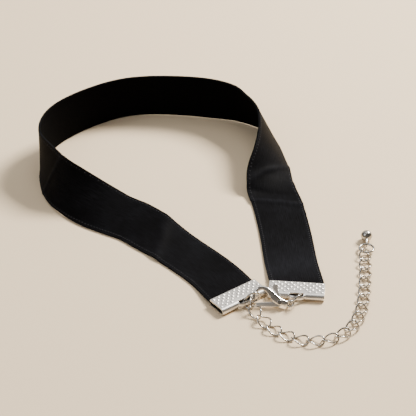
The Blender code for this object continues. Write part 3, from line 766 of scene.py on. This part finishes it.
def select_in_edit(piece, wanted):
    """In edit mode, select the vertices that a test of their place picks."""
    bm = bmesh.from_edit_mesh(piece.data)
    for vertex in bm.verts:
        vertex.select = wanted(vertex.co)
    bm.select_flush_mode()
    bmesh.update_edit_mesh(piece.data)


def bisect_all(co, no):
    """Cut the whole mesh in edit mode along a plane."""
    bpy.ops.mesh.select_all(action="SELECT")
    bpy.ops.mesh.bisect(plane_co=co, plane_no=no)


def make_fold(settings):
    """The bare plate, folded, with its stamped slots and the loop between them."""
    width, depth, height, plate = settings.crimp_width, settings.crimp_depth, settings.crimp_height, settings.plate
    radius = (height - plate) * 0.5
    flat = depth - height * 0.5
    slot = 1.95 * MM
    slot_start = 4.2 * MM
    top = height - plate * 0.5
    bpy.ops.object.select_all(action="DESELECT")
    bpy.ops.mesh.primitive_plane_add(size=1.0, location=(0.0, -flat * 0.5, top))
    fold = bpy.context.object
    place_in_mesh(fold)
    bpy.ops.object.mode_set(mode="EDIT")
    bpy.ops.mesh.select_all(action="SELECT")
    bpy.ops.transform.resize(value=(width, flat, 1.0), center_override=(0.0, -flat * 0.5, top))
    columns = [slot * k / 6.0 for k in range(-6, 7)]
    for side in (-1.0, 1.0):
        columns += [side * (slot + step * MM) for step in (0.3, 0.7, 1.3, 2.2, 3.6)]
        columns.append(side * (width * 0.5 - 0.15 * MM))
    for x in columns:
        bisect_all((x, 0.0, 0.0), (1.0, 0.0, 0.0))
    for y in (slot_start, slot_start - 0.4 * MM, 2.6 * MM, 1.2 * MM):
        bisect_all((0.0, -y, 0.0), (0.0, 1.0, 0.0))
    select_in_edit(fold, lambda co: co.y < -flat + 0.01 * MM)
    bpy.ops.mesh.spin(steps=20, angle=math.pi, center=(0.0, -flat, height * 0.5), axis=(-1.0, 0.0, 0.0))
    if min(v.co.y for v in bmesh.from_edit_mesh(fold.data).verts) > -flat - radius * 0.9:
        raise RuntimeError("the fold turned the wrong way")
    select_in_edit(fold, lambda co: co.z < plate * 0.51 and co.y > -flat - 0.01 * MM)
    for step in (flat - slot_start, slot_start):
        bpy.ops.mesh.extrude_region_move(TRANSFORM_OT_translate={"value": (0.0, step, 0.0)})
    upper, lower = math.radians(42.0), math.radians(112.0)

    def angle(co):
        return math.atan2(-(co.y + flat), co.z - height * 0.5) if co.y < -flat else (0.0 if co.z > height * 0.5 else math.pi)

    bm = bmesh.from_edit_mesh(fold.data)
    for face in bm.faces:
        middle = face.calc_center_median()
        turn = angle(middle)
        inside = abs(middle.x) < slot and middle.y < -slot_start
        face.select = inside and (turn < upper or turn > lower)
    bm.select_flush_mode()
    bmesh.update_edit_mesh(fold.data)
    bpy.ops.mesh.select_mode(type="FACE")
    bpy.ops.mesh.delete(type="FACE")
    bpy.ops.mesh.select_mode(type="VERT")
    spread = slot * 1.12
    for x in sorted({round(v.co.x, 7) for v in bmesh.from_edit_mesh(fold.data).verts}):
        share = 1.0 - (x / spread) ** 2
        if share <= 0.0:
            continue

        def on_band(co, here=x):
            return abs(co.x - here) < 0.01 * MM and upper - 0.2 < angle(co) < lower + 0.2 and co.y < -flat - 0.2 * MM

        select_in_edit(fold, on_band)
        bulge = settings.loop_reach * share**0.6
        bpy.ops.transform.translate(value=(0.0, -bulge, bulge * 0.28))
    bpy.ops.mesh.select_all(action="SELECT")
    bpy.ops.mesh.remove_doubles(threshold=0.001 * MM)
    bpy.ops.mesh.normals_make_consistent(inside=False)
    bpy.ops.object.mode_set(mode="OBJECT")
    wall = fold.modifiers.new("Wall", "SOLIDIFY")
    wall.thickness = plate
    wall.offset = 0.0
    edge = fold.modifiers.new("Edge", "BEVEL")
    edge.width = 0.10 * MM
    edge.segments = 3
    edge.limit_method = "ANGLE"
    edge.angle_limit = math.radians(50.0)
    apply_modifiers(fold)
    return fold


def dot_places(settings):
    """Staggered rows of dots on the upper plate, clear of the slots and the plate's edges."""
    pitch, row_pitch, clear = 1.74 * MM, 0.92 * MM, 0.60 * MM
    half = settings.crimp_width * 0.5
    places = []
    for row in range(5):
        y = -row_pitch * (row + 0.6)
        offset = 0.5 * pitch if row % 2 else 0.0
        for column in range(-6, 7):
            x = column * pitch + offset
            near_slot = abs(x) < 2.4 * MM and y < -3.7 * MM
            if abs(x) < half - clear and not near_slot:
                places.append((x, y))
    return places


def add_dots(fold, settings):
    """Raised round dots joined onto the upper plate."""
    bpy.ops.object.select_all(action="DESELECT")
    bpy.ops.mesh.primitive_uv_sphere_add(segments=12, ring_count=8, radius=1.0)
    dot = bpy.context.object
    bpy.ops.object.mode_set(mode="EDIT")
    bpy.ops.mesh.select_all(action="SELECT")
    radius = settings.dot_radius
    bpy.ops.transform.resize(value=(radius, radius, settings.dot_height), center_override=(0.0, 0.0, 0.0))
    bpy.ops.object.mode_set(mode="OBJECT")
    copies = []
    for x, y in dot_places(settings):
        copy = bpy.data.objects.new("dot", dot.data.copy())
        bpy.context.scene.collection.objects.link(copy)
        copy.data.transform(Matrix.Translation((x, y, settings.crimp_height - 0.03 * MM)))
        copies.append(copy)
    bpy.data.objects.remove(dot, do_unlink=True)
    select_only(*copies)
    bpy.ops.object.join()
    join_solids(fold, bpy.context.object, "UNION")


def join_solids(target, other, operation):
    """Join or cut one solid with another, and take the other away."""
    modifier = target.modifiers.new("Join", "BOOLEAN")
    modifier.operation = operation
    modifier.solver = "EXACT"
    modifier.object = other
    apply_modifiers(target)
    bpy.data.objects.remove(other, do_unlink=True)


# Clasp


def clasp_pose():
    """The clasp's own frame: X along its length, Y up its tilted plane, Z out of its face."""
    turn = Matrix.Rotation(CLASP_HEADING, 4, "Z") @ Matrix.Rotation(CLASP_TILT, 4, "X")
    return Matrix.Translation(CLASP_PLACE + layout_shift()) @ turn


def outline_curve(points, half_thickness, soft, kind="POLY"):
    """A closed flat outline raised both ways, with rounded edges of the given radius."""
    data = bpy.data.curves.new("outline", "CURVE")
    data.dimensions = "2D"
    data.fill_mode = "BOTH"
    spline = data.splines.new(kind)
    spline.points.add(len(points) - 1)
    for point, (x, y) in zip(spline.points, points):
        point.co = (x, y, 0.0, 1.0)
    spline.use_cyclic_u = True
    data.extrude = half_thickness - soft
    data.bevel_depth = soft
    data.bevel_resolution = 3
    data.offset = -soft
    outline = bpy.data.objects.new("outline", data)
    bpy.context.scene.collection.objects.link(outline)
    select_only(outline)
    bpy.ops.object.convert(target="MESH")
    piece = bpy.context.object
    merge_close(piece)
    return piece


def merge_close(piece):
    """Merge doubled points and turn every face outwards."""
    select_only(piece)
    bpy.ops.object.mode_set(mode="EDIT")
    bpy.ops.mesh.select_all(action="SELECT")
    bpy.ops.mesh.remove_doubles(threshold=0.0005 * MM)
    bpy.ops.mesh.normals_make_consistent(inside=False)
    bpy.ops.object.mode_set(mode="OBJECT")


def remesh_soft(piece, voxel, rounds):
    """Melt a joined solid's edges a little, as casting and tumbling do."""
    melt = piece.modifiers.new("Melt", "REMESH")
    melt.mode = "VOXEL"
    melt.voxel_size = voxel
    soft = piece.modifiers.new("Soft", "SMOOTH")
    soft.factor = 0.5
    soft.iterations = rounds
    apply_modifiers(piece)
    piece.data.shade_smooth()


def make_rod(radius, low, high, segments=32):
    """A round rod on the rivet's axis."""
    settings = get("metal")
    place = (PIVOT[0] * settings.clasp_length, PIVOT[1] * settings.clasp_height, (low + high) * 0.5)
    bpy.ops.object.select_all(action="DESELECT")
    bpy.ops.mesh.primitive_cylinder_add(vertices=segments, radius=radius, depth=high - low, location=place)
    rod = bpy.context.object
    place_in_mesh(rod)
    return rod


def make_claw(settings):
    """The hooked body: a swept bar with its eye joined on, slotted and bored."""
    length, height, thickness = settings.clasp_length, settings.clasp_height, settings.clasp_thickness
    rows = [dict(zip(CLAW_COLUMNS, row)) for row in CLAW_SECTIONS]
    places = smooth_through([Vector((r["along"] * length, r["up"] * height, 0.0)) for r in rows], 10)
    sizes = smooth_through([Vector((r["half_width"] * height, r["half_thickness"] * thickness, 0.0)) for r in rows], 10)
    rim = bpy.data.curves.new("section", "CURVE")
    rim.dimensions = "2D"
    ring = rim.splines.new("POLY")
    ring.points.add(27)
    for k, point in enumerate(ring.points):
        turn = 2.0 * math.pi * k / 28
        x = math.copysign(abs(math.cos(turn)) ** 0.75, math.cos(turn))
        y = math.copysign(abs(math.sin(turn)) ** 0.75, math.sin(turn))
        point.co = (1.07 * x, 0.935 * y, 0.0, 1.0)
    ring.use_cyclic_u = True
    section = bpy.data.objects.new("section", rim)
    bpy.context.scene.collection.objects.link(section)
    path = bpy.data.curves.new("claw", "CURVE")
    path.dimensions = "3D"
    path.twist_mode = "Z_UP"
    run = path.splines.new("POLY")
    run.points.add(len(places) - 1)
    for point, place, size in zip(run.points, places, sizes):
        point.co = (*place, 1.0)
        point.radius = math.sqrt(size.x * size.y)
    path.bevel_mode = "OBJECT"
    path.bevel_object = section
    path.use_fill_caps = True
    claw = bpy.data.objects.new("claw", path)
    bpy.context.scene.collection.objects.link(claw)
    select_only(claw)
    bpy.ops.object.convert(target="MESH")
    claw = bpy.context.object
    bpy.data.objects.remove(section, do_unlink=True)
    merge_close(claw)

    eye = wire_loop(0.90 * MM, 0.80 * MM, 0.62 * MM)
    eye.data.transform(Matrix.Translation((EYE[0] * length, EYE[1] * height, 0.0)))
    join_solids(claw, eye, "UNION")
    half_slot = settings.lever_thickness * 0.5 + 0.2 * MM
    slot = outline_curve([(a * length, u * height) for a, u in SLOT_OUTLINE], half_slot, 0.02 * MM)
    join_solids(claw, slot, "DIFFERENCE")
    join_solids(claw, make_rod(0.46 * MM, -thickness, thickness), "DIFFERENCE")
    remesh_soft(claw, 0.075 * MM, 6)
    return claw


def make_lever(settings):
    """The sprung lever: gate, boss and thumb tab cut from one strip, its edges rounded."""
    length, height = settings.clasp_length, settings.clasp_height
    points = [Vector((a * length, u * height, 0.0)) for a, u in LEVER_OUTLINE]
    closed = smooth_through([points[-1], *points, points[0], points[1]], 5)
    closed = closed[5 : 5 + 5 * len(points)]
    lever = outline_curve([(p.x, p.y) for p in closed], settings.lever_thickness * 0.5, 0.14 * MM)
    join_solids(lever, make_rod(0.46 * MM, -settings.lever_thickness, settings.lever_thickness), "DIFFERENCE")
    select_only(lever)
    bpy.ops.object.shade_smooth_by_angle(angle=math.radians(40.0))
    return lever


def make_pin(settings):
    """The rivet: a shank with a low domed head at each end."""
    reach = settings.clasp_thickness * 0.5 + 0.08 * MM
    pin = make_rod(0.38 * MM, -reach - 0.1 * MM, reach + 0.1 * MM)
    for side in (-1.0, 1.0):
        low, high = sorted((side * reach, side * (reach + 0.25 * MM)))
        head = make_rod(0.65 * MM, low, high)
        join_solids(pin, head, "UNION")
    dome = pin.modifiers.new("Dome", "BEVEL")
    dome.width = 0.12 * MM
    dome.segments = 4
    dome.limit_method = "ANGLE"
    dome.angle_limit = math.radians(50.0)
    apply_modifiers(pin)
    bpy.ops.object.shade_smooth_by_angle(angle=math.radians(40.0))
    return pin


def make_drop(settings):
    """The ball with its neck and eye, cast in one."""
    radius = settings.ball_diameter * 0.5
    wire, gap = 0.44 * MM, 0.12 * MM
    ring_place = END_RING_PLACE + layout_shift()
    along = Vector((math.cos(DROP_HEADING), math.sin(DROP_HEADING), 0.0))
    side = Vector((-along.y, along.x, 0.0))
    far = ring_place + END_RING_AXIS.cross(-side).normalized() * 4.05 * MM * 0.5
    eye_radius = (settings.end_wire + wire) * 0.5 + gap
    start = far + along * (eye_radius + 0.1 * MM)
    neck = 1.1 * MM
    rise = start.z - radius
    flat = math.sqrt(max((neck + radius) ** 2 - rise * rise, 0.0))
    ball = Vector((start.x, start.y, 0.0)) + along * flat + Vector((0.0, 0.0, radius))
    bpy.ops.object.select_all(action="DESELECT")
    bpy.ops.mesh.primitive_uv_sphere_add(segments=48, ring_count=32, radius=radius, location=ball)
    drop = bpy.context.object
    place_in_mesh(drop)
    line = ball - start
    bpy.ops.object.select_all(action="DESELECT")
    bpy.ops.mesh.primitive_cone_add(vertices=32, radius1=0.40 * MM, radius2=0.62 * MM, depth=line.length)
    stem = bpy.context.object
    stem.data.transform(Matrix.Translation((start + ball) * 0.5) @ line.to_track_quat("Z", "Y").to_matrix().to_4x4())
    join_solids(drop, stem, "UNION")
    eye = wire_loop(eye_radius, eye_radius, wire)
    eye.data.transform(Matrix.Translation(far) @ side.to_track_quat("Z", "Y").to_matrix().to_4x4())
    join_solids(drop, eye, "UNION")
    remesh_soft(drop, 0.07 * MM, 3)
    return drop


def dressed_in(piece, metal):
    """Give a metal piece one finish all over."""
    piece.data.materials.clear()
    piece.data.materials.append(metal)
    return piece


def get(name):
    """A group of settings by name."""
    return getattr(bpy.context.scene, "choker_" + name)


# Operators


class CHOKER_OT_ribbon(bpy.types.Operator):
    """Make the woven ribbon and its edge stitches"""

    bl_idname = "choker.ribbon"
    bl_label = "Ribbon"

    def execute(self, context):
        settings = get("ribbon")
        band, frames = make_ribbon(settings)
        stitches = make_stitches(settings, frames)
        dress(band, "ribbon_band", BODY, "black_ribbon", "ribbon")
        dress(stitches, "ribbon_stitches", BODY, "black_ribbon")
        return {"FINISHED"}


class CHOKER_OT_chain(bpy.types.Operator):
    """Make the extender chain's links and its end ring"""

    bl_idname = "choker.chain"
    bl_label = "Chain"

    def execute(self, context):
        settings = get("metal")
        metal = plated_metal("chain_wire", settings.wire_shade, settings.wire_colour, 0.16, 420.0, 2600.0)
        make_links(settings, metal)
        make_ring("end_ring", "chain_end_ring", settings.end_wire, 0.0, metal)
        return {"FINISHED"}


class CHOKER_OT_jump_rings(bpy.types.Operator):
    """Make the two jump rings"""

    bl_idname = "choker.jump_rings"
    bl_label = "Jump rings"

    def execute(self, context):
        settings = get("metal")
        metal = plated_metal("ring_wire", settings.wire_shade, settings.wire_colour, 0.13, 380.0, 2400.0)
        make_ring("jump_ring_left", "ring_left", settings.jump_wire, settings.ring_cut, metal)
        make_ring("jump_ring_right", "ring_right", settings.jump_wire, settings.ring_cut, metal)
        return {"FINISHED"}


class CHOKER_OT_folded_ends(bpy.types.Operator):
    """Make the two folded metal ends, dotted on top, with a stamped loop in the fold"""

    bl_idname = "choker.folded_ends"
    bl_label = "Folded ends"

    def execute(self, context):
        settings = get("metal")
        metal = plated_metal("pressed_plating", settings.shade_colour, settings.colour, 0.31, 300.0, 2200.0)
        master = make_fold(settings)
        add_dots(master, settings)
        select_only(master)
        bpy.ops.object.shade_smooth_by_angle(angle=math.radians(38.0))
        for name, node, place, heading in (
            ("folded_end_left", "crimp_left", LEFT_CRIMP_PLACE, LEFT_CRIMP_HEADING),
            ("folded_end_right", "crimp_right", RIGHT_CRIMP_PLACE, RIGHT_CRIMP_HEADING),
        ):
            end = copy_at(master, crimp_pose(place, heading), metal)
            dress(end, name, BODY, "silver_plate", node)
        bpy.data.objects.remove(master, do_unlink=True)
        return {"FINISHED"}


class CHOKER_OT_clasp(bpy.types.Operator):
    """Make the lobster clasp: hooked body, lever and rivet"""

    bl_idname = "choker.clasp"
    bl_label = "Clasp"

    def execute(self, context):
        settings = get("metal")
        cast = plated_metal("cast_plating", settings.shade_colour, settings.colour, 0.11, 300.0, 2200.0)
        pressed = plated_metal("lever_plating", settings.shade_colour, settings.colour, 0.38, 300.0, 2200.0)
        riveted = plated_metal("rivet_plating", settings.wire_shade, settings.wire_colour, 0.20, 300.0, 2200.0)
        pose = clasp_pose()
        for piece, name, body, slot, node, metal in (
            (make_claw(settings), "claw", BODY, "silver_plate", "clasp_body", cast),
            (make_lever(settings), "lever_and_gate", LEVER_BODY, "bright_steel", "clasp_lever", pressed),
            (make_pin(settings), "rivet", BODY, "bright_steel", "clasp_pin", riveted),
        ):
            piece.data.transform(pose)
            dressed_in(piece, metal)
            dress(piece, name, body, slot, node)
        return {"FINISHED"}


class CHOKER_OT_drop(bpy.types.Operator):
    """Make the ball on the chain's end"""

    bl_idname = "choker.drop"
    bl_label = "Ball drop"

    def execute(self, context):
        settings = get("metal")
        metal = plated_metal("ball_plating", settings.wire_shade, settings.wire_colour, 0.20, 260.0, 2200.0)
        dress(dressed_in(make_drop(settings), metal), "ball_drop_cast", BODY, "bright_steel", "ball_drop")
        return {"FINISHED"}


class CHOKER_OT_stage(bpy.types.Operator):
    """Make the floor, the lights and the camera"""

    bl_idname = "choker.stage"
    bl_label = "Stage"

    def execute(self, context):
        settings = get("stage")
        aim = layout_shift()
        aim.z = 0.0
        floor = make_floor(settings, aim)
        make_camera(settings, aim)
        make_lights(settings, aim)
        make_world()
        return {"FINISHED"}


def make_floor(settings, aim):
    """A plain pale floor."""
    bpy.ops.object.select_all(action="DESELECT")
    bpy.ops.mesh.primitive_plane_add(size=3.0, location=aim)
    floor = bpy.context.object
    floor.name = "floor"
    n = Nodes("floor_finish")
    place = n.add("ShaderNodeTexCoord").outputs["Object"]
    cloud = n.noise(place, 9.0, 3.0, 0.5)
    warm = [c * 0.97 for c in settings.floor_colour]
    n.join(n.mix(cloud, rgba(settings.floor_colour), rgba(warm)), n.shader.inputs["Base Color"])
    n.shader.inputs["Roughness"].default_value = 0.75
    n.shader.inputs["Specular IOR Level"].default_value = 0.2
    floor.data.materials.append(n.material)
    return floor


def make_camera(settings, aim):
    """A long lens at the photograph's angle."""
    back = Vector((0.0, -math.cos(settings.elevation), math.sin(settings.elevation)))
    bpy.ops.object.camera_add(location=aim + back * settings.distance)
    camera = bpy.context.object
    camera.rotation_euler = (math.pi * 0.5 - settings.elevation, 0.0, 0.0)
    camera.data.lens = settings.focal_length
    camera.data.sensor_width = 36.0
    camera.data.clip_start = 0.01
    bpy.context.scene.camera = camera


def add_light(name, place, aim, size, power, colour):
    """A square soft light that faces its aim."""
    bpy.ops.object.light_add(type="AREA", location=place)
    lamp = bpy.context.object
    lamp.name = name
    lamp.data.shape = "SQUARE"
    lamp.data.size = size
    lamp.data.energy = power
    lamp.data.color = colour
    lamp.rotation_euler = (aim - place).to_track_quat("-Z", "Y").to_euler()


def make_lights(settings, aim):
    """A large key from behind on the right, a weak fill from the front left."""
    add_light("key_light", aim + Vector((0.42, 0.34, 0.50)), aim, 0.22, settings.key_power, (1.0, 0.955, 0.89))
    add_light("fill_light", aim + Vector((-0.45, -0.25, 0.50)), aim, 0.45, settings.fill_power, (0.95, 0.97, 1.0))
    add_light("top_light", aim + Vector((0.0, 0.15, 0.75)), aim, 0.5, settings.fill_power, (1.0, 0.99, 0.97))


def make_world():
    """Soft surroundings: light behind, tan in front and darker overhead, so that metal shows contrast."""
    world = bpy.data.worlds.new("studio")
    world.use_nodes = True
    tree = world.node_tree
    backdrop = tree.nodes["Background"]
    place = tree.nodes.new("ShaderNodeTexCoord")
    split = tree.nodes.new("ShaderNodeSeparateXYZ")
    depth = tree.nodes.new("ShaderNodeMapRange")
    ramp = tree.nodes.new("ShaderNodeValToRGB")
    depth.inputs["From Min"].default_value = -1.0
    tree.links.new(place.outputs["Generated"], split.inputs[0])
    tree.links.new(split.outputs[1], depth.inputs["Value"])
    tree.links.new(depth.outputs[0], ramp.inputs[0])
    tree.links.new(ramp.outputs[0], backdrop.inputs[0])
    stops = ramp.color_ramp.elements
    stops[0].position, stops[0].color = 0.0, (0.50, 0.44, 0.37, 1.0)
    stops[1].position, stops[1].color = 1.0, (1.6, 1.55, 1.49, 1.0)
    for position, colour in (
        (0.28, (0.30, 0.265, 0.23, 1.0)),
        (0.42, (0.05, 0.046, 0.042, 1.0)),
        (0.58, (0.05, 0.048, 0.046, 1.0)),
        (0.66, (0.16, 0.155, 0.15, 1.0)),
        (0.77, (1.30, 1.26, 1.20, 1.0)),
        (0.88, (2.0, 1.94, 1.86, 1.0)),
    ):
        stops.new(position).color = colour
    backdrop.inputs[1].default_value = 0.46
    bpy.context.scene.world = world


class CHOKER_PT_panel(bpy.types.Panel):
    """The choker's pieces in the sidebar"""

    bl_label = "Ribbon choker"
    bl_idname = "CHOKER_PT_panel"
    bl_space_type = "VIEW_3D"
    bl_region_type = "UI"
    bl_category = "Choker"

    def draw(self, context):
        for operator in OPERATORS:
            self.layout.operator(operator.bl_idname)
        for group in GROUPS:
            settings = get(group)
            box = self.layout.box()
            for name in settings.bl_rna.properties.keys():
                if name not in ("rna_type", "name"):
                    box.prop(settings, name)


GROUPS = {"ribbon": RibbonSettings, "metal": MetalSettings, "stage": StageSettings}
OPERATORS = (
    CHOKER_OT_ribbon,
    CHOKER_OT_chain,
    CHOKER_OT_jump_rings,
    CHOKER_OT_folded_ends,
    CHOKER_OT_clasp,
    CHOKER_OT_drop,
    CHOKER_OT_stage,
)


def register():
    """Register the classes and give the scene its settings."""
    for group in GROUPS.values():
        bpy.utils.register_class(group)
    for operator in OPERATORS:
        bpy.utils.register_class(operator)
    bpy.utils.register_class(CHOKER_PT_panel)
    for name, group in GROUPS.items():
        setattr(bpy.types.Scene, "choker_" + name, PointerProperty(type=group))


def unregister():
    """Take the settings and the classes away again."""
    for name in GROUPS:
        delattr(bpy.types.Scene, "choker_" + name)
    bpy.utils.unregister_class(CHOKER_PT_panel)
    for item in (*reversed(OPERATORS), *GROUPS.values()):
        bpy.utils.unregister_class(item)


def main():
    """Make everything in order."""
    register()
    bpy.ops.choker.ribbon()
    bpy.ops.choker.chain()
    bpy.ops.choker.jump_rings()
    bpy.ops.choker.folded_ends()
    bpy.ops.choker.clasp()
    bpy.ops.choker.drop()
    bpy.ops.choker.stage()
    bpy.context.view_layer.update()


if __name__ == "__main__":
    main()
